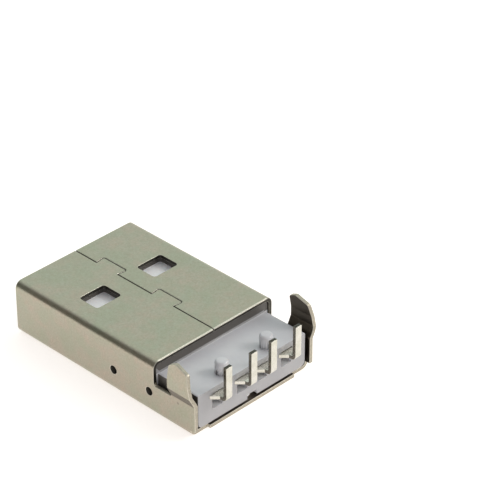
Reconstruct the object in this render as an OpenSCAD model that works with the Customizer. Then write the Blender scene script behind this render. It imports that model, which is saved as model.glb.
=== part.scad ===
// USB-A plug for the edge of a circuit board: a folded sheet-steel shell, one moulded housing and
// four bent contacts. The plug lies on its plain face, with the seam, the solder tails and the two
// board locks upwards. X runs across the width, +Y away from the mouth, Z up. All sizes are in mm,
// and every length along Y is measured from the mouth.

/* [Shell] */
// Width over the side walls
shell_w = 12; // [11.6:0.1:12.6]
// Height over the two broad faces
shell_h = 4.5; // [4.3:0.1:5]
// Thickness of the sheet
sheet_t = 0.3; // [0.2:0.05:0.35]
// Outer radius of the four long bends
bend_r = 0.6; // [0.45:0.05:0.8]
// Length of the face that carries the seam
seam_face_l = 14.7; // [14:0.1:15.2]
// Length of the plain face at its corners
plain_face_l = 18.4; // [18:0.1:18.6]
// Length of the side walls
wall_l = 18.85; // [18.65:0.05:19.2]
// Width of the plain face's rear tab
rear_tab_w = 8.6; // [4:0.2:10]
// Reach of that tab past the corners
rear_tab_out = 0.25; // [0.1:0.05:0.4]
// Bevel inside the mouth
lead_in = 0.12; // [0.05:0.01:0.18]

/* [Latch windows] */
// Size of each window across the plug
window_w = 2.45; // [2:0.05:2.8]
// Size of each window along the plug
window_l = 1.95; // [1.6:0.05:2.2]
// Strip of metal left between the two windows of a face
window_apart = 3.3; // [3:0.1:3.8]
// Distance from the mouth to the windows
window_start = 4.9; // [4.5:0.1:5.5]
// Corner radius of the windows
window_r = 0.25; // [0.1:0.05:0.5]

/* [Seam] */
// Width of the slit between the two edges
seam_gap = 0.06; // [0.04:0.01:0.1]
// Reach of the locking tabs past the centre line
seam_tab_out = 0.82; // [0.5:0.02:1.1]
// Length of a locking tab at its end
seam_tab_l = 2.45; // [2:0.05:2.8]
// How much narrower a locking tab is at its root, on each side
seam_tab_flare = 0.12; // [0:0.02:0.25]
// Corner radius at a locking tab's end
seam_tab_r = 0.15; // [0.05:0.05:0.4]
// Distance from the mouth to the first locking tab
seam_tab_first = 2.25; // [2:0.05:2.6]
// Distance from the first locking tab to the second
seam_tab_pitch = 5.95; // [5.6:0.05:6.4]

/* [Stakes and hole] */
// Diameter of the punched stakes in the side walls
stake_d = 0.7; // [0.5:0.05:0.8]
// Depth of each stake behind the wall's inner face
stake_in = 0.25; // [0.1:0.05:0.4]
// Height of the stakes above the plain face
stake_z = 1.85; // [1.4:0.05:2.2]
// Distance from the mouth to the first stakes
stake_first = 10.5; // [10.4:0.1:11.5]
// Distance from the first stakes to the second
stake_pitch = 3.7; // [2:0.1:3.7]
// Diameter of the hole in the plain face
gauge_hole_d = 1.2; // [0.8:0.1:1.6]
// Distance from the hole's centre to the plain face's corners
gauge_hole_inset = 0.9; // [0.8:0.1:1.6]

/* [Board locks] */
// Width of the arch between the seam face and each lock
arch_w = 1.8; // [1.2:0.1:2]
// Height of the arch's lowest point
arch_z = 2.58; // [2.3:0.02:2.8]
// Corner radius of the arch
arch_r = 0.2; // [0.1:0.05:0.6]
// Height of the lock's tip
lock_top = 5.75; // [5.5:0.05:6.5]
// How far the sloping edge drops from the tip to the rear corner
lock_slope_drop = 0.4; // [0.2:0.05:0.8]
// How far the lock narrows from the side wall to its rear corner
lock_taper = 0.5; // [0.2:0.05:0.8]
// Width of the lock at its tip
lock_tip_w = 0.65; // [0.5:0.05:1]
// How far the lock swells out past the side wall
lock_swell = 0.42; // [0.1:0.02:0.6]
// Height where the lock leaves the side wall
lock_foot_z = 2.75; // [2.6:0.05:2.9]
// Height where the swelling begins
lock_swell_low = 3.6; // [3.5:0.05:3.8]
// Height where the swelling ends
lock_swell_high = 4.4; // [4.3:0.05:4.6]
// How far the tip stays outside the side wall
lock_tip_out = 0.08; // [0:0.02:0.15]
// Radius of the lock's bends, at the middle of the sheet
lock_bend_r = 0.35; // [0.2:0.05:0.4]
// Radius of the lock's rounded tip
lock_tip_r = 0.3; // [0.15:0.05:0.35]

/* [Housing] */
// Clearance between the block and the shell
housing_fit = 0.03; // [0.01:0.01:0.06]
// Depth of the cavity, from the mouth to the block
cavity_l = 9.7; // [9.2:0.1:10]
// Distance from the mouth to the tongue
tongue_start = 0.38; // [0.3:0.02:0.6]
// Thickness of the tongue
tongue_t = 1.75; // [1.65:0.05:1.9]
// Space between each end of the tongue and the shell
tongue_side_gap = 0.3; // [0.15:0.05:0.4]
// Radius of the tongue's front edges
tongue_edge_r = 0.3; // [0.1:0.05:0.5]
// Setback of the block from the seam face's rear edge
step_back = 0.1; // [0.05:0.05:0.4]
// Distance from the seam face's rear edge to the platform's flat seat
seat_gap = 0.05; // [0.05:0.05:0.2]
// Height of the platform that the board lies on
platform_z = 3.35; // [3.2:0.05:3.6]
// Length from the mouth to the housing's rear face
housing_l = 18.6; // [18.4:0.1:19]
// Space between the platform's sides and the side walls
platform_side_gap = 0.25; // [0.1:0.05:0.4]
// Space between the rear part and the plain face
platform_floor_gap = 0.2; // [0.05:0.05:0.3]
// Radius of the rear part's lower edges
platform_edge_r = 0.45; // [0.3:0.05:0.6]
// Radius of the platform's upper edges
platform_top_r = 0.12; // [0.05:0.01:0.2]
// Depth of the relief under each window
window_relief = 0.4; // [0.2:0.05:0.6]
// Width of the keyway in the rear face's lower edge
keyway_w = 1; // [0.6:0.1:1.4]
// Height of that keyway
keyway_h = 0.4; // [0.2:0.05:0.6]
// Length of that keyway
keyway_l = 0.5; // [0.3:0.1:0.5]

/* [Locating pegs] */
// Diameter of the two pegs
peg_d = 1; // [0.7:0.05:1.2]
// Height of the pegs above the platform
peg_h = 1.1; // [0.8:0.05:1.6]
// Distance between the pegs
peg_pitch = 4.5; // [4.3:0.1:4.7]
// Distance from the pegs to the rear face
peg_inset = 0.85; // [0.7:0.05:1.5]
// Bevel at the top of the pegs
peg_bevel = 0.12; // [0.05:0.01:0.2]

/* [Contacts] */
// Distance between the two middle contacts
contact_pitch_mid = 2; // [1.9:0.1:2.1]
// Distance from each middle contact to the outer one
contact_pitch_side = 2.5; // [2.4:0.1:2.6]
// Width of a contact in the tongue
contact_w = 1; // [0.8:0.05:1.2]
// Thickness of a contact
contact_t = 0.3; // [0.2:0.05:0.35]
// Recess of the contact surface behind the tongue's face
contact_recess = 0.1; // [0.05:0.01:0.15]
// Clearance between a contact and its groove
contact_fit = 0.03; // [0.01:0.01:0.05]
// Distance from the mouth to the outer contacts' tips
contact_start = 2.2; // [2:0.1:2.6]
// How much further back the middle contacts start
contact_stagger = 1; // [0.5:0.1:1.2]
// Rise of the turned-up tip
nose_rise = 0.42; // [0.2:0.02:0.6]
// Length of the turned-up tip
nose_l = 0.6; // [0.4:0.05:0.9]
// Radius of the bend behind that tip, at the middle of the sheet
nose_bend_r = 0.4; // [0.3:0.05:0.6]
// Room in front of a contact's tip
pocket_front = 0.4; // [0.1:0.05:0.6]
// Room above a contact's tip
pocket_above = 0.3; // [0.1:0.05:0.5]
// Height of the entry recess under each contact in the rear face
entry_h = 1; // [0.5:0.05:1.3]
// Depth of that recess
entry_l = 2; // [0.5:0.1:3]
// Width over the shoulders that stop against the rear face
shoulder_w = 1.66; // [1.3:0.02:1.8]
// Width of a solder tail
tail_w = 0.6; // [0.4:0.05:0.8]
// Distance from the rear face to the back of the tails
tail_out = 1.17; // [1:0.01:1.5]
// Height of the tails' ends above the plain face
tail_top = 5.45; // [5:0.05:6.2]
// Inside radius of the bend into the tail
tail_bend_r = 0.15; // [0.1:0.05:0.3]

/* [Hidden] */
$fn = 48;
arc_steps = 6;
past = 1;
overall_l = housing_l + tail_out;

inner_w = shell_w - 2 * sheet_t;
inner_h = shell_h - 2 * sheet_t;
inner_r = bend_r - sheet_t;
window_x = (window_apart + window_w) / 2;
seam_tabs = [seam_tab_first, seam_tab_first + seam_tab_pitch];
stakes = [stake_first, stake_first + stake_pitch];
gauge_hole_y = plain_face_l - gauge_hole_inset;
lock_start = seam_face_l + arch_w;

block_bottom = sheet_t + housing_fit;
block_top = shell_h - sheet_t - housing_fit;
block_w = inner_w - 2 * housing_fit;
block_end = seam_face_l - step_back;
step_foot_r = step_back + seat_gap;
tongue_w = inner_w - 2 * tongue_side_gap;
tongue_face = block_top - tongue_t;
platform_w = inner_w - 2 * platform_side_gap;
platform_bottom = sheet_t + platform_floor_gap;

contact_x = [for (side = [1, -1]) each side > 0
    ? [contact_pitch_mid / 2 + contact_pitch_side, contact_pitch_mid / 2]
    : [-contact_pitch_mid / 2, -contact_pitch_mid / 2 - contact_pitch_side]];
contact_tip = [contact_start, contact_start + contact_stagger,
               contact_start + contact_stagger, contact_start];
strip_bottom = tongue_face + contact_recess;
strip_top = strip_bottom + contact_t;
groove_w = contact_w + 2 * contact_fit;
groove_roof = strip_top + contact_fit;
pocket_roof = strip_top + nose_rise + pocket_above;

// The arc that rounds corner b with radius r on the way from a to c
function corner_arc(a, b, c, r) =
    let (u = (a - b) / norm(a - b), v = (c - b) / norm(c - b), half = acos(u * v) / 2,
         centre = b + (u + v) / norm(u + v) * r / sin(half),
         first = b + u * r / tan(half) - centre, last = b + v * r / tan(half) - centre,
         angle = atan2(first.y, first.x),
         turn = (atan2(last.y, last.x) - angle + 540) % 360 - 180)
    [for (i = [0:arc_steps]) centre + r * [cos(angle + turn * i / arc_steps), sin(angle + turn * i / arc_steps)]];

// A closed outline, or an open path, from corners given as [across, up, radius]
function rounded(corners) =
    let (n = len(corners), at = [for (c = corners) [c.x, c.y]])
    [for (i = [0:n - 1]) each corners[i].z > 0
        ? corner_arc(at[(i + n - 1) % n], at[i], at[(i + 1) % n], corners[i].z) : [at[i]]];

// A path moved sideways by d, with mitred corners
function beside(path, d) =
    let (n = len(path))
    [for (i = [0:n - 1])
        let (back = path[i] - path[max(i - 1, 0)], ahead = path[min(i + 1, n - 1)] - path[i],
             u = i > 0 ? back / norm(back) : ahead / norm(ahead),
             v = i < n - 1 ? ahead / norm(ahead) : u,
             left_u = [-u.y, u.x], left_v = [-v.y, v.x])
        path[i] + (left_u + left_v) * d / (1 + left_u * left_v)];

// The outline of a strip of thickness t bent along a path
function bent_strip(path, t) =
    let (left = beside(path, t / 2), right = beside(path, -t / 2))
    concat(left, [for (i = [len(right) - 1:-1:0]) right[i]]);

// A closed outline that is the same on both sides of X = 0, from the corners of its right half
function both_sides(half) = concat(half, [for (i = [len(half) - 1:-1:0]) [-half[i].x, half[i].y]]);

// Moves a piece drawn from the mouth to the frame's origin under the plug's middle
module placed() {
    translate([0, -overall_l / 2, 0]) children();
}

// Extrudes an XZ outline from one Y to another
module along_y(from, to) {
    translate([0, to, 0]) rotate([90, 0, 0]) linear_extrude(to - from) children();
}

// Extrudes a YZ outline from one X to another
module along_x(from, to) {
    translate([from, 0, 0]) rotate([90, 0, 90]) linear_extrude(to - from) children();
}

// A rectangle standing on Z = bottom with round corners of radius r
module round_box_outline(w, bottom, top, r) {
    for (x = [-1, 1], z = [bottom + r, top - r]) translate([x * (w / 2 - r), z]) circle(r);
    translate([-w / 2, bottom + r]) square([w, top - bottom - 2 * r]);
    translate([-w / 2 + r, bottom]) square([w - 2 * r, top - bottom]);
}

module sheet_ring() {
    difference() {
        round_box_outline(shell_w, 0, shell_h, bend_r);
        round_box_outline(inner_w, sheet_t, shell_h - sheet_t, inner_r);
    }
}

// The bevel inside the mouth: a cone in each bend and a prism between them
module mouth_bevel() {
    for (x = [-1, 1], z = [sheet_t + inner_r, shell_h - sheet_t - inner_r])
        translate([x * (inner_w / 2 - inner_r), 0, z])
            rotate([-90, 0, 0]) cylinder(h = lead_in, r1 = inner_r + lead_in, r2 = inner_r);
    along_x(-inner_w / 2 + inner_r, inner_w / 2 - inner_r)
        polygon([[0, sheet_t - lead_in], [lead_in, sheet_t],
                 [lead_in, shell_h - sheet_t], [0, shell_h - sheet_t + lead_in]]);
    translate([0, 0, sheet_t + inner_r]) linear_extrude(inner_h - 2 * inner_r)
        polygon([[-inner_w / 2 - lead_in, 0], [inner_w / 2 + lead_in, 0],
                 [inner_w / 2, lead_in], [-inner_w / 2, lead_in]]);
}

module window_outline(grow = 0) {
    w = window_w + 2 * grow;
    l = window_l + 2 * grow;
    for (side = [-1, 1]) translate([side * window_x - w / 2, window_start - grow])
        polygon(rounded([[0, 0, window_r], [w, 0, window_r], [w, l, window_r], [0, l, window_r]]));
}

// One locking tab of the seam, larger by grow on its free sides
module seam_tab_outline(start, grow) {
    polygon(rounded([
        [seam_gap / 2, start + seam_tab_flare - grow, 0],
        [-seam_tab_out - grow, start - grow, seam_tab_r + grow],
        [-seam_tab_out - grow, start + seam_tab_l + grow, seam_tab_r + grow],
        [seam_gap / 2, start + seam_tab_l - seam_tab_flare + grow, 0]]));
}

// The slit between the sheet's two edges, along the centre line and round the locking tabs
module seam_outline() {
    difference() {
        union() {
            translate([-seam_gap / 2, -past]) square([seam_gap, seam_face_l + 2 * past]);
            for (start = seam_tabs) seam_tab_outline(start, seam_gap);
        }
        for (start = seam_tabs) seam_tab_outline(start, 0);
    }
}

// A side wall seen from the side, with the arch and the lock that stands behind it
module wall_outline() {
    rear_corner_z = lock_top - lock_slope_drop;
    polygon(rounded([
        [seam_face_l - past, bend_r, 0],
        [wall_l, bend_r, 0],
        [wall_l, lock_foot_z + 1.5 * lock_bend_r, lock_bend_r],
        [wall_l - lock_taper, rear_corner_z, lock_tip_r],
        [lock_start + lock_tip_w, lock_top, lock_tip_r],
        [lock_start, lock_top - lock_tip_w / 2, lock_tip_r],
        [lock_start, arch_z, arch_r],
        [seam_face_l, arch_z, arch_r],
        [seam_face_l, shell_h - bend_r, 0],
        [seam_face_l - past, shell_h - bend_r, 0]]));
}

// The lock seen from behind: straight, swelling outwards and coming back at the tip
module lock_section() {
    middle = (shell_w - sheet_t) / 2;
    polygon(bent_strip(rounded([
        [middle, 0, 0],
        [middle, lock_foot_z, lock_bend_r],
        [middle + lock_swell, lock_swell_low, lock_bend_r],
        [middle + lock_swell, lock_swell_high, lock_bend_r],
        [middle + lock_tip_out, lock_top + past / 2, 0]]), sheet_t));
}

module side_wall() {
    arch_middle = seam_face_l + arch_w / 2;
    intersection() {
        along_x(inner_w / 2 - past, shell_w / 2 + past) wall_outline();
        union() {
            along_y(seam_face_l - past, arch_middle) translate([inner_w / 2, 0]) square([sheet_t, shell_h]);
            along_y(arch_middle, wall_l + past) lock_section();
        }
    }
}

// The two stakes of the +X wall. The solid is what the punch pushes in, larger by grow
module stake_backs(grow = 0) {
    for (y = stakes) translate([shell_w / 2 - sheet_t / 2, y, stake_z])
        rotate([0, -90, 0])
            cylinder(h = sheet_t / 2 + stake_in + grow, r1 = stake_d / 2 + grow, r2 = stake_d / 3 + grow);
}

module stake_pits() {
    for (y = stakes) translate([shell_w / 2, y, stake_z]) rotate([0, -90, 0])
        cylinder(h = sheet_t + stake_in * 0.6, r1 = stake_d / 2, r2 = stake_d / 5);
}

module shell() {
    color([0.7, 0.69, 0.64]) placed() difference() {
        union() {
            along_y(0, seam_face_l) sheet_ring();
            along_y(seam_face_l - past, plain_face_l) intersection() {
                sheet_ring();
                translate([-shell_w / 2, 0]) square([shell_w, bend_r]);
            }
            translate([-rear_tab_w / 2, plain_face_l - past, 0]) cube([rear_tab_w, past + rear_tab_out, sheet_t]);
            for (side = [0, 1]) mirror([side, 0, 0]) {
                side_wall();
                stake_backs();
            }
        }
        mouth_bevel();
        for (z = [0, shell_h - sheet_t]) translate([0, 0, z - past / 2])
            linear_extrude(sheet_t + past) window_outline();
        translate([0, 0, shell_h - sheet_t - past / 2]) linear_extrude(sheet_t + past) seam_outline();
        for (side = [0, 1]) mirror([side, 0, 0]) stake_pits();
        translate([0, gauge_hole_y, -past]) cylinder(h = sheet_t + 2 * past, d = gauge_hole_d);
    }
}

module tongue() {
    along_x(-tongue_w / 2, tongue_w / 2) polygon(rounded([
        [tongue_start, tongue_face, tongue_edge_r],
        [cavity_l + past, tongue_face, 0],
        [cavity_l + past, block_top, 0],
        [tongue_start, block_top, tongue_edge_r / 2]]));
}

// The rear part behind the seam face, with the board seat on top
module platform() {
    along_y(block_end - past, housing_l) polygon(rounded([
        [-platform_w / 2, platform_bottom, platform_edge_r],
        [platform_w / 2, platform_bottom, platform_edge_r],
        [platform_w / 2, platform_z, platform_top_r],
        [-platform_w / 2, platform_z, platform_top_r]]));
}

// The round foot of the step, which leaves the platform's seat clear of the seam face above
module step_foot() {
    along_x(-platform_w / 2 + platform_top_r, platform_w / 2 - platform_top_r) difference() {
        translate([block_end - past, platform_z - past]) square(past + step_foot_r);
        translate([block_end + step_foot_r, platform_z + step_foot_r]) circle(step_foot_r);
    }
}

module pegs() {
    for (side = [-1, 1]) translate([side * peg_pitch / 2, housing_l - peg_inset, platform_z - past]) {
        cylinder(h = past + peg_h - peg_bevel, d = peg_d);
        translate([0, 0, past + peg_h - peg_bevel])
            cylinder(h = peg_bevel, d1 = peg_d, d2 = peg_d - 2 * peg_bevel);
    }
}

// What a contact needs out of the housing: an open groove in the tongue, a pocket round its
// turned-up tip, a close passage through the block and an entry recess in the rear face
module contact_way(tip) {
    translate([-groove_w / 2, tip - pocket_front, tongue_face - past])
        cube([groove_w, pocket_front + nose_l + nose_bend_r, pocket_roof - tongue_face + past]);
    translate([-groove_w / 2, tip, tongue_face - past])
        cube([groove_w, cavity_l - tip, groove_roof - tongue_face + past]);
    translate([-groove_w / 2, tip, strip_bottom - contact_fit])
        cube([groove_w, housing_l + past - tip, groove_roof - strip_bottom + contact_fit]);
    translate([-groove_w / 2, housing_l - entry_l, strip_bottom - entry_h])
        cube([groove_w, entry_l + past, groove_roof - strip_bottom + entry_h]);
}

module housing() {
    color([0.93, 0.93, 0.95]) placed() difference() {
        union() {
            along_y(cavity_l, block_end) round_box_outline(block_w, block_bottom, block_top, inner_r);
            tongue();
            platform();
            step_foot();
            pegs();
        }
        for (i = [0:3]) translate([contact_x[i], 0, 0]) contact_way(contact_tip[i]);
        translate([0, 0, block_top - window_relief]) linear_extrude(window_relief + past)
            window_outline(housing_fit * 4);
        translate([-keyway_w / 2, housing_l - keyway_l, 0])
            cube([keyway_w, keyway_l + past, platform_bottom + keyway_h]);
        for (side = [0, 1]) mirror([side, 0, 0]) stake_backs(housing_fit);
    }
}

// A contact seen from the side: the turned-up tip, the straight strip and the tail bent upwards
module contact_section(tip) {
    middle = strip_bottom + contact_t / 2;
    tail_middle = overall_l - contact_t / 2;
    polygon(bent_strip(rounded([
        [tip, middle + nose_rise, 0],
        [tip + nose_l, middle, nose_bend_r],
        [tail_middle, middle, tail_bend_r + contact_t / 2],
        [tail_middle, tail_top, 0]]), contact_t));
}

// The same contact seen from above: strip, shoulders and the taper down to the tail
module contact_plan(tip) {
    taper = (shoulder_w - tail_w) / 2;
    polygon(both_sides([
        [contact_w / 2, tip - past], [contact_w / 2, housing_l], [shoulder_w / 2, housing_l],
        [tail_w / 2, housing_l + taper], [tail_w / 2, overall_l + past]]));
}

module contact(i) {
    color([0.86, 0.85, 0.8]) placed() translate([contact_x[i], 0, 0]) intersection() {
        along_x(-shoulder_w, shoulder_w) contact_section(contact_tip[i]);
        linear_extrude(2 * shell_h) contact_plan(contact_tip[i]);
    }
}

shell();
housing();
contact(0);  // contact_1
contact(1);  // contact_2
contact(2);  // contact_3
contact(3);  // contact_4
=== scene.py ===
# An upright-tailed board plug: a folded nickel shell, a moulded housing and four
# contact strips.
import math

import bmesh
import bpy
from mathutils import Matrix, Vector
from mathutils.bvhtree import BVHTree


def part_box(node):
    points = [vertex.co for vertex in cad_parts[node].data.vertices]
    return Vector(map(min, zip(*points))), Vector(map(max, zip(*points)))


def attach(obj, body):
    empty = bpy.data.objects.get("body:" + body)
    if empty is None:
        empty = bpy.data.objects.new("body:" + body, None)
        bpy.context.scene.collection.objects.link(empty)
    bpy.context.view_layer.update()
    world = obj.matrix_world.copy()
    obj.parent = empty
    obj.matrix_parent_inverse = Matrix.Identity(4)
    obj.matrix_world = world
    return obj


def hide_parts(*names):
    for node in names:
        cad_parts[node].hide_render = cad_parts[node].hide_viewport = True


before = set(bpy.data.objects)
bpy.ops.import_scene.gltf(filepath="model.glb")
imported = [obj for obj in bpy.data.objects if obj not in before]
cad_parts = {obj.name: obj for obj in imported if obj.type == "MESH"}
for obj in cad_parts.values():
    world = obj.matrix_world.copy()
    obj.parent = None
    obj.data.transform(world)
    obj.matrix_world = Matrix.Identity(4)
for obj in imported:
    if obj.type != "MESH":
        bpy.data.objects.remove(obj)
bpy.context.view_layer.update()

MM = 0.001

# Sizes of the plug in millimetres. Those along it are measured from the mouth.
SHEET = 0.3
SHELL_TOP = 4.5
SEAM_FACE = 14.7
PLATFORM_TOP = 3.35
HOUSING_END = 18.6
MOUTH_Y = (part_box("shell")[0] / MM).y
HOUSING_SIDE = (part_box("housing")[1] / MM).x

# Where the slit between the shell's two edges is looked for.
SEAM_HALF_WIDTH = 1.1
SEAM_LOWEST = 4.1
# The stretch of the shell whose sheared faces lie in shade.
DARK_START = 0.3
DARK_END = 14.6
# Heights between which the bottoms of the window reliefs lie.
RELIEF_LOW = 3.6
RELIEF_HIGH = 4
# A small dent in the near wall: across, along and up, and how far it reaches.
DENT_X, DENT_ALONG, DENT_Z = 6.0, 17.16, 2.33
DENT_REACH = 0.12

# Meshing, in millimetres and radians.
DOUBLED_CORNER = 0.0008
SHORTEST_EDGE = 0.012
FLAT = math.radians(0.6)
CORNER = math.radians(30)
CLOSE = 0.05
SHEET_TOLERANCE = 0.08

# How far the corners are broken.
RIM_ROLL = 0.09
SEAM_BREAK = 0.035
SHEET_BREAK = 0.028
PLASTIC_BREAK = 0.04
STRIP_BREAK = 0.025

# How much the shade colour covers.
STEP_SHADE = 0.58
REAR_SHADE = 0.42

TABLE_DROP = 0.01
TABLE_RADIUS = 3.0
LENS = 176.636
CAMERA_PLACE = (0.10130, 0.10742, 0.10503)
CAMERA_TURN = (56.95285, -0.07927, 134.38762)

# Near black for metal faces painted as if unlit: painted shade.
UNLIT_METAL = (0.07, 0.065, 0.055)

# The room's light is laid in this order over its base colour. Each row has a
# direction, the angles from it where the light starts and is full, and its colour.
ROOM_BASE = (0.36, 0.36, 0.37)
ROOM_LIGHTS = (
    ((0, 0, 1), 75, 10, (0.62, 0.62, 0.64)),
    ((-0.62, -0.60, 0.50), 58, 24, (0.88, 0.97, 0.92)),
    ((-0.60, 0.56, 0.58), 34, 14, (1.45, 1.42, 1.35)),
    ((0.70, -0.62, 0.36), 48, 22, (0.17, 0.17, 0.15)),
)


# ---- pieces: closed copies of the solids in millimetres, their corners broken ----


def merged_copy(node):
    """The solid's triangles as one closed mesh, its flat faces whole again."""
    bm = bmesh.new()
    bm.from_mesh(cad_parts[node].data)
    bmesh.ops.scale(bm, vec=(1 / MM,) * 3, verts=bm.verts)
    bmesh.ops.remove_doubles(bm, verts=bm.verts, dist=DOUBLED_CORNER)
    bmesh.ops.dissolve_limit(bm, angle_limit=FLAT, verts=bm.verts, edges=bm.edges)
    bmesh.ops.remove_doubles(bm, verts=bm.verts, dist=SHORTEST_EDGE)
    return bm


def mark_faces(bm, name, test):
    """A number on each face that its finish reads: test(face) from 0 to 1."""
    layer = bm.faces.layers.float.new(name)
    for face in bm.faces:
        face[layer] = test(face)


def from_mouth(place):
    return place.y - MOUTH_Y


def in_seam(place):
    """Whether a point is beside the slit between the shell's two edges."""
    return (
        abs(place.x) < SEAM_HALF_WIDTH
        and from_mouth(place) < SEAM_FACE - CLOSE
        and place.z > SEAM_LOWEST
    )


def break_edges(bm, width, segments, chosen=None, highlight_and_wear_share=1.0, painted_shade_share=0.0):
    """Rounds the chosen corners, or all of them, and marks them for a painted
    highlight and wear, and for painted shade where asked.
    """
    edges = [
        e
        for e in bm.edges
        if e.is_manifold
        and e.calc_face_angle(0) > CORNER
        and (chosen is None or chosen(e))
    ]
    painted_highlight_and_wear = bm.faces.layers.float.get("painted_highlight_and_wear") or bm.faces.layers.float.new("painted_highlight_and_wear")
    made = bmesh.ops.bevel(
        bm,
        geom=edges,
        offset=width,
        offset_type="OFFSET",
        segments=segments,
        profile=0.5,
        affect="EDGES",
        clamp_overlap=False,
        material=-1,
    )
    for face in made["faces"]:
        face[painted_highlight_and_wear] = highlight_and_wear_share
        # Painted shade on the new corners, where asked.
        if painted_shade_share:
            face[bm.faces.layers.float["dark_cut"]] = painted_shade_share


def finished(bm, name, node, finish):
    """Turns the mesh into a piece at the origin that stands for its solid."""
    bmesh.ops.scale(bm, vec=(MM,) * 3, verts=bm.verts)
    mesh = bpy.data.meshes.new(name)
    bm.to_mesh(mesh)
    bm.free()
    mesh.materials.append(finish)
    mesh.shade_smooth()
    piece = bpy.data.objects.new(name, mesh)
    bpy.context.scene.collection.objects.link(piece)
    weighted = piece.modifiers.new("even shading", "WEIGHTED_NORMAL")
    weighted.mode = "FACE_AREA"
    weighted.weight = 100
    weighted.keep_sharp = True
    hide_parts(node)
    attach(piece, "root")


def sheet_depth(tree, face):
    """How far the metal goes in behind the middle of a face."""
    inward = -face.normal
    hit = tree.ray_cast(face.calc_center_median() + inward * 0.002, inward, 5)
    return hit[3] if hit[3] is not None else 5


def make_shell(finish):
    bm = merged_copy("shell")
    bm.normal_update()
    tree = BVHTree.FromBMesh(bm)

    def is_cut(face):
        return 0.0 if abs(sheet_depth(tree, face) - SHEET) < SHEET_TOLERANCE else 1.0

    def is_shaded_cut(face):
        middle = face.calc_center_median()
        along = from_mouth(middle)
        seam_face_end = abs(along - SEAM_FACE) < 0.02 and middle.z > 3
        tab_end = in_seam(middle) and face.normal.y > 0.7
        hidden = (DARK_START < along < DARK_END or seam_face_end) and not tab_end
        return is_cut(face) * (1.0 if hidden else 0.0)

    def is_inner(face):
        middle = face.calc_center_median()
        inward = face.normal.x * middle.x < -0.3
        down = face.normal.z * (middle.z - SHELL_TOP / 2) < -0.3
        return (1 - is_cut(face)) * (1.0 if inward or down else 0.0)

    def is_on_top(place):
        return place.z > SHELL_TOP - 0.01

    def is_rolled_end(edge):
        return all(
            abs(v.co.y - MOUTH_Y - SEAM_FACE) < 0.01 and is_on_top(v.co)
            for v in edge.verts
        )

    def is_seam_edge(edge):
        return all(in_seam(v.co) and is_on_top(v.co) for v in edge.verts)

    mark_faces(bm, "cut", is_cut)
    mark_faces(bm, "dark_cut", is_shaded_cut)
    mark_faces(bm, "inner", is_inner)
    # Painted highlight on the rolled end.
    break_edges(bm, RIM_ROLL, 3, is_rolled_end)
    # The slit's rounded corners get no painted highlight and are painted near black:
    # painted shade in the slit.
    break_edges(bm, SEAM_BREAK, 2, is_seam_edge, highlight_and_wear_share=0.0, painted_shade_share=0.85)
    # Painted highlight, at half strength, on the other broken corners.
    break_edges(bm, SHEET_BREAK, 2, highlight_and_wear_share=0.5)
    finished(bm, "folded_shell", "shell", finish)


def make_housing(finish):
    bm = merged_copy("housing")
    bmesh.ops.bisect_plane(
        bm,
        geom=bm.verts[:] + bm.edges[:] + bm.faces[:],
        plane_co=(0, 0, PLATFORM_TOP + 0.02),
        plane_no=(0, 0, 1),
        dist=0.001,
    )
    bm.normal_update()

    def shade_of(face):
        middle = face.calc_center_median()
        along = from_mouth(middle)
        faces_rear = face.normal.y > 0.5
        step = along < SEAM_FACE + CLOSE and faces_rear and middle.z > PLATFORM_TOP
        under_sheet = along < SEAM_FACE - CLOSE and (
            middle.z > SHELL_TOP - SHEET - CLOSE
            or (middle.z > 3.8 and abs(face.normal.z) < 0.5 and along > 4)
        )
        beside_wall = (
            along > SEAM_FACE
            and abs(face.normal.x) > 0.9
            and abs(middle.x) > HOUSING_SIDE - 0.4
        )
        if under_sheet or beside_wall:
            return 1.0
        if step:
            return STEP_SHADE
        return REAR_SHADE if along > HOUSING_END - CLOSE and faces_rear else 0.0

    def is_window_floor(face):
        middle = face.calc_center_median()
        level = RELIEF_LOW < middle.z < RELIEF_HIGH and face.normal.z > 0.9
        return 1.0 if level and middle.y < 0 else 0.0

    mark_faces(bm, "shade", shade_of)
    mark_faces(bm, "pale", is_window_floor)
    break_edges(bm, PLASTIC_BREAK, 2)
    finished(bm, "moulded_housing", "housing", finish)


def make_contact(number, finish):
    bm = merged_copy(f"contact_{number}")
    bm.normal_update()

    def is_cut(face):
        return 1.0 if abs(face.normal.x) > 0.9 else 0.0

    def is_tip(face):
        return 1.0 if face.normal.z > 0.9 and face.calc_center_median().z > 5 else 0.0

    mark_faces(bm, "cut", is_cut)
    mark_faces(bm, "tip", is_tip)
    # The strip's broken corners get a painted highlight.
    break_edges(bm, STRIP_BREAK, 2, highlight_and_wear_share=0.3)
    finished(bm, f"contact_strip_{number}", f"contact_{number}", finish)


# ---- finishes ----


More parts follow.
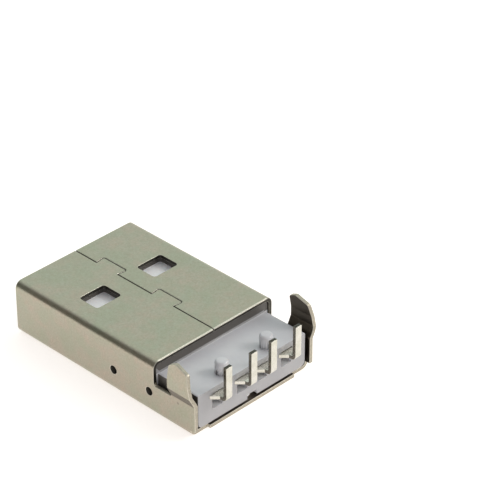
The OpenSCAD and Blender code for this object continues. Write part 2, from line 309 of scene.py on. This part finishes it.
class Finish:
    """A node material with short calls for the nodes that its finish needs."""

    def __init__(self, name):
        self.material = bpy.data.materials.new(name)
        self.material.use_nodes = True
        self.nodes = self.material.node_tree.nodes
        self.links = self.material.node_tree.links
        self.shader = self.nodes["Principled BSDF"]
        place = self.nodes.new("ShaderNodeTexCoord")
        scale = self.nodes.new("ShaderNodeMapping")
        scale.inputs["Scale"].default_value = (1000, 1000, 1000)
        self.links.new(place.outputs["Object"], scale.inputs["Vector"])
        self.mm = scale.outputs["Vector"]

    def set(self, **values):
        for name, value in values.items():
            self.shader.inputs[name.replace("_", " ")].default_value = value

    def feed(self, socket, name):
        self.links.new(socket, self.shader.inputs[name])

    def stretched(self, x, y, z):
        node = self.nodes.new("ShaderNodeMapping")
        node.inputs["Scale"].default_value = (x, y, z)
        self.links.new(self.mm, node.inputs["Vector"])
        return node.outputs["Vector"]

    def noise(self, scale, detail, roughness=0.55, vector=None):
        node = self.nodes.new("ShaderNodeTexNoise")
        node.inputs["Scale"].default_value = scale
        node.inputs["Detail"].default_value = detail
        node.inputs["Roughness"].default_value = roughness
        self.links.new(vector or self.mm, node.inputs["Vector"])
        return node.outputs["Fac"]

    def ranged(self, socket, from_low, from_high, to_low=0.0, to_high=1.0):
        node = self.nodes.new("ShaderNodeMapRange")
        for name, value in zip(
            ("From Min", "From Max", "To Min", "To Max"),
            (from_low, from_high, to_low, to_high),
        ):
            node.inputs[name].default_value = value
        self.links.new(socket, node.inputs["Value"])
        return node.outputs["Result"]

    def attribute(self, name, share=None):
        """A number marked on the faces, or only a share of it."""
        node = self.nodes.new("ShaderNodeAttribute")
        node.attribute_name = name
        marked = node.outputs["Fac"]
        return marked if share is None else self.maths("MULTIPLY", marked, share)

    def maths(self, operation, a, b):
        node = self.nodes.new("ShaderNodeMath")
        node.operation = operation
        for i, value in enumerate((a, b)):
            if isinstance(value, (int, float)):
                node.inputs[i].default_value = value
            else:
                self.links.new(value, node.inputs[i])
        return node.outputs[0]

    def blend(self, amount, low, high):
        node = self.nodes.new("ShaderNodeMix")
        node.data_type = "RGBA"
        self.links.new(amount, node.inputs["Factor"])
        for i, value in ((6, low), (7, high)):
            if isinstance(value, tuple):
                node.inputs[i].default_value = (*value, 1)
            else:
                self.links.new(value, node.inputs[i])
        return node.outputs[2]

    def nearness(self, point, reach):
        """1 at a point in millimetres, falling to 0 at its reach."""
        node = self.nodes.new("ShaderNodeVectorMath")
        node.operation = "DISTANCE"
        node.inputs[1].default_value = point
        self.links.new(self.mm, node.inputs[0])
        return self.ranged(node.outputs["Value"], 0.4 * reach, reach, 1, 0)

    def relief(self, height, depth_mm, strength, after=None):
        node = self.nodes.new("ShaderNodeBump")
        node.inputs["Distance"].default_value = depth_mm * MM
        node.inputs["Strength"].default_value = strength
        self.links.new(height, node.inputs["Height"])
        if after is not None:
            self.links.new(after, node.inputs["Normal"])
        return node.outputs["Normal"]


def nickel_sheet():
    """Nickel plate over rolled steel: mottled, with rolling lines along the plug and
    dull sheared faces; a painted highlight on the broken edges, and painted shade on
    the inner faces, the shaded sheared faces and in the dent."""
    green, warm = (0.405, 0.41, 0.312), (0.485, 0.41, 0.335)
    pale_patch, dark_grain = (0.445, 0.455, 0.375), (0.33, 0.31, 0.235)
    inner_painted_shade, dent_painted_shade = (0.17, 0.145, 0.115), (0.16, 0.13, 0.11)
    sheared_light, sheared_dark = (0.52, 0.48, 0.39), (0.36, 0.33, 0.27)
    highlight_and_wear_colour = (0.95, 0.91, 0.80)

    f = Finish("nickel_sheet")
    f.set(Metallic=1.0)
    mottle = f.ranged(f.noise(0.55, 3), 0.38, 0.62)
    patches = f.ranged(f.noise(1.9, 4, 0.6), 0.35, 0.65)
    grain = f.ranged(f.noise(7, 4, 0.65), 0.32, 0.68)
    lines = f.noise(3, 3, 0.6, f.stretched(6, 0.35, 6))
    dent = f.nearness((DENT_X, DENT_ALONG + MOUTH_Y, DENT_Z), DENT_REACH)

    colour = f.blend(mottle, green, warm)
    colour = f.blend(f.maths("MULTIPLY", patches, 0.5), colour, pale_patch)
    colour = f.blend(f.maths("MULTIPLY", grain, 0.6), colour, dark_grain)
    # Inner faces painted dark brown: painted shade inside the shell.
    colour = f.blend(f.attribute("inner"), colour, inner_painted_shade)
    sheared = f.blend(grain, sheared_light, sheared_dark)
    colour = f.blend(f.attribute("cut"), colour, sheared)
    colour = f.blend(f.attribute("dark_cut"), colour, UNLIT_METAL)
    # Broken edges: painted highlight.
    colour = f.blend(f.attribute("painted_highlight_and_wear", 0.9), colour, highlight_and_wear_colour)
    # Painted shade in the dent's hollow.
    colour = f.blend(f.maths("MULTIPLY", dent, 0.6), colour, dent_painted_shade)
    f.feed(colour, "Base Color")

    line_rough = f.ranged(lines, 0.3, 0.7, 0.24, 0.33)
    rough = f.maths("ADD", line_rough, f.ranged(grain, 0, 1, 0, 0.06))
    rough = f.maths("ADD", rough, f.attribute("cut", 0.14))
    rough = f.maths("ADD", rough, f.maths("MULTIPLY", patches, 0.05))
    f.feed(rough, "Roughness")

    bump = f.relief(lines, 0.004, 0.35)
    bump = f.relief(f.noise(7, 3), 0.006, 0.5, bump)
    bump = f.relief(f.noise(1.1, 2), 0.02, 0.35, bump)
    bump = f.relief(f.maths("SUBTRACT", 1.0, dent), 0.03, 0.6, bump)
    f.feed(bump, "Normal")
    return f.material


def milky_plastic():
    """Moulded white plastic: a lilac cast, slightly translucent, finely textured by
    its mould; painted shade on hidden and shaded faces, painted light on the window
    floors."""
    cloud_low, cloud_high = (0.62, 0.62, 0.65), (0.68, 0.68, 0.70)
    speck, highlight_and_wear_colour = (0.50, 0.50, 0.53), (0.60, 0.60, 0.62)
    window_floor_painted_light, shade = (0.95, 0.95, 0.96), (0.10, 0.09, 0.08)

    f = Finish("milky_plastic")
    f.set(
        Subsurface_Weight=0.12,
        Subsurface_Scale=0.0004,
        Subsurface_Radius=(1.0, 0.8, 0.7),
        IOR=1.5,
        Coat_Weight=0.08,
    )
    cloud = f.ranged(f.noise(0.5, 3), 0.35, 0.65)
    fine = f.noise(14, 3, 0.6)
    colour = f.blend(cloud, cloud_low, cloud_high)
    colour = f.blend(f.ranged(fine, 0.55, 0.75, 0, 0.2), colour, speck)
    colour = f.blend(f.attribute("painted_highlight_and_wear", 0.3), colour, highlight_and_wear_colour)
    # Window floors painted paler: painted light on the reliefs' floors.
    colour = f.blend(f.attribute("pale"), colour, window_floor_painted_light)
    colour = f.blend(f.attribute("shade"), colour, shade)
    f.feed(colour, "Base Color")
    f.feed(f.ranged(fine, 0.3, 0.7, 0.34, 0.46), "Roughness")
    bump = f.relief(fine, 0.003, 0.4)
    f.feed(f.relief(f.noise(1.2, 2), 0.012, 0.3, bump), "Normal")
    return f.material


def bright_tin():
    """Bright tin over brass strip: drawing lines along it, sheared sides painted
    darker for the sheared edge and as painted shade, a painted highlight on the
    broken edges and painted shade on the tips.
    """
    light, dark = (0.70, 0.68, 0.62), (0.60, 0.59, 0.51)
    sheared, highlight_and_wear_colour = (0.26, 0.24, 0.20), (0.84, 0.82, 0.75)

    f = Finish("bright_tin")
    f.set(Metallic=1.0)
    drawn = f.noise(4, 3, 0.6, f.stretched(5, 0.6, 0.6))
    patch = f.ranged(f.noise(1.6, 3), 0.35, 0.65)
    colour = f.blend(patch, light, dark)
    # Sheared sides painted dark: the sheared edge and painted shade.
    colour = f.blend(f.attribute("cut"), colour, sheared)
    # The tips' top faces are painted near black: painted shade.
    colour = f.blend(f.attribute("tip"), colour, UNLIT_METAL)
    # Broken edges: painted highlight.
    colour = f.blend(f.attribute("painted_highlight_and_wear", 0.8), colour, highlight_and_wear_colour)
    f.feed(colour, "Base Color")
    f.feed(f.ranged(drawn, 0.3, 0.7, 0.2, 0.34), "Roughness")
    bump = f.relief(drawn, 0.002, 0.25)
    f.feed(f.relief(f.noise(8, 2), 0.0015, 0.15, bump), "Normal")
    return f.material


def table_top():
    """A white light table: it glows a little, so shadows on it stay faint."""
    f = Finish("table_top")
    f.set(
        Roughness=0.9,
        Emission_Strength=0.74,
        Emission_Color=(1.0, 0.95, 0.91, 1),
    )
    cloud = f.noise(0.02, 2)
    f.feed(f.blend(cloud, (0.62, 0.61, 0.60), (0.66, 0.65, 0.64)), "Base Color")
    return f.material


# ---- studio ----


def make_table():
    bm = bmesh.new()
    bmesh.ops.create_circle(bm, cap_ends=True, segments=96, radius=TABLE_RADIUS)
    bmesh.ops.translate(bm, vec=(0, 0, -TABLE_DROP * MM), verts=bm.verts)
    mesh = bpy.data.meshes.new("table")
    bm.to_mesh(mesh)
    bm.free()
    mesh.materials.append(table_top())
    table = bpy.data.objects.new("table", mesh)
    bpy.context.scene.collection.objects.link(table)


def make_camera():
    data = bpy.data.cameras.new("camera")
    data.sensor_width = 36
    data.lens = LENS
    data.clip_start = 0.01
    camera = bpy.data.objects.new("camera", data)
    camera.location = CAMERA_PLACE
    camera.rotation_euler = [math.radians(a) for a in CAMERA_TURN]
    bpy.context.scene.collection.objects.link(camera)
    bpy.context.scene.camera = camera


def make_lamp(name, place, size, watts, colour):
    data = bpy.data.lights.new(name, "AREA")
    data.shape = "DISK"
    data.size = size
    data.energy = watts
    data.color = colour
    lamp = bpy.data.objects.new(name, data)
    lamp.location = place
    lamp.rotation_euler = (-Vector(place)).to_track_quat("-Z", "Y").to_euler()
    bpy.context.scene.collection.objects.link(lamp)


def make_surroundings():
    """A soft grey room with bright panels behind the plug and a dark left side."""
    world = bpy.data.worlds.new("room")
    bpy.context.scene.world = world
    world.use_nodes = True
    nodes, links = world.node_tree.nodes, world.node_tree.links
    place = nodes.new("ShaderNodeTexCoord")

    def panel(direction, start, full):
        dot = nodes.new("ShaderNodeVectorMath")
        dot.operation = "DOT_PRODUCT"
        dot.inputs[1].default_value = Vector(direction).normalized()
        links.new(place.outputs["Generated"], dot.inputs[0])
        soft = nodes.new("ShaderNodeMapRange")
        soft.interpolation_type = "SMOOTHSTEP"
        soft.inputs["From Min"].default_value = math.cos(math.radians(start))
        soft.inputs["From Max"].default_value = math.cos(math.radians(full))
        links.new(dot.outputs["Value"], soft.inputs["Value"])
        return soft.outputs["Result"]

    light = None
    for direction, start, full, colour in ROOM_LIGHTS:
        mix = nodes.new("ShaderNodeMix")
        mix.data_type = "RGBA"
        links.new(panel(direction, start, full), mix.inputs["Factor"])
        if light is None:
            mix.inputs[6].default_value = (*ROOM_BASE, 1)
        else:
            links.new(light, mix.inputs[6])
        mix.inputs[7].default_value = (*colour, 1)
        light = mix.outputs[2]
    links.new(light, nodes["Background"].inputs["Color"])


make_camera()
make_table()
make_surroundings()
make_lamp("key", (-0.24, 0.22, 0.24), 0.12, 0.35, (1.0, 0.98, 0.95))
bpy.context.scene.view_settings.view_transform = "Standard"

make_shell(nickel_sheet())
make_housing(milky_plastic())
tin = bright_tin()
for number in (1, 2, 3, 4):
    make_contact(number, tin)
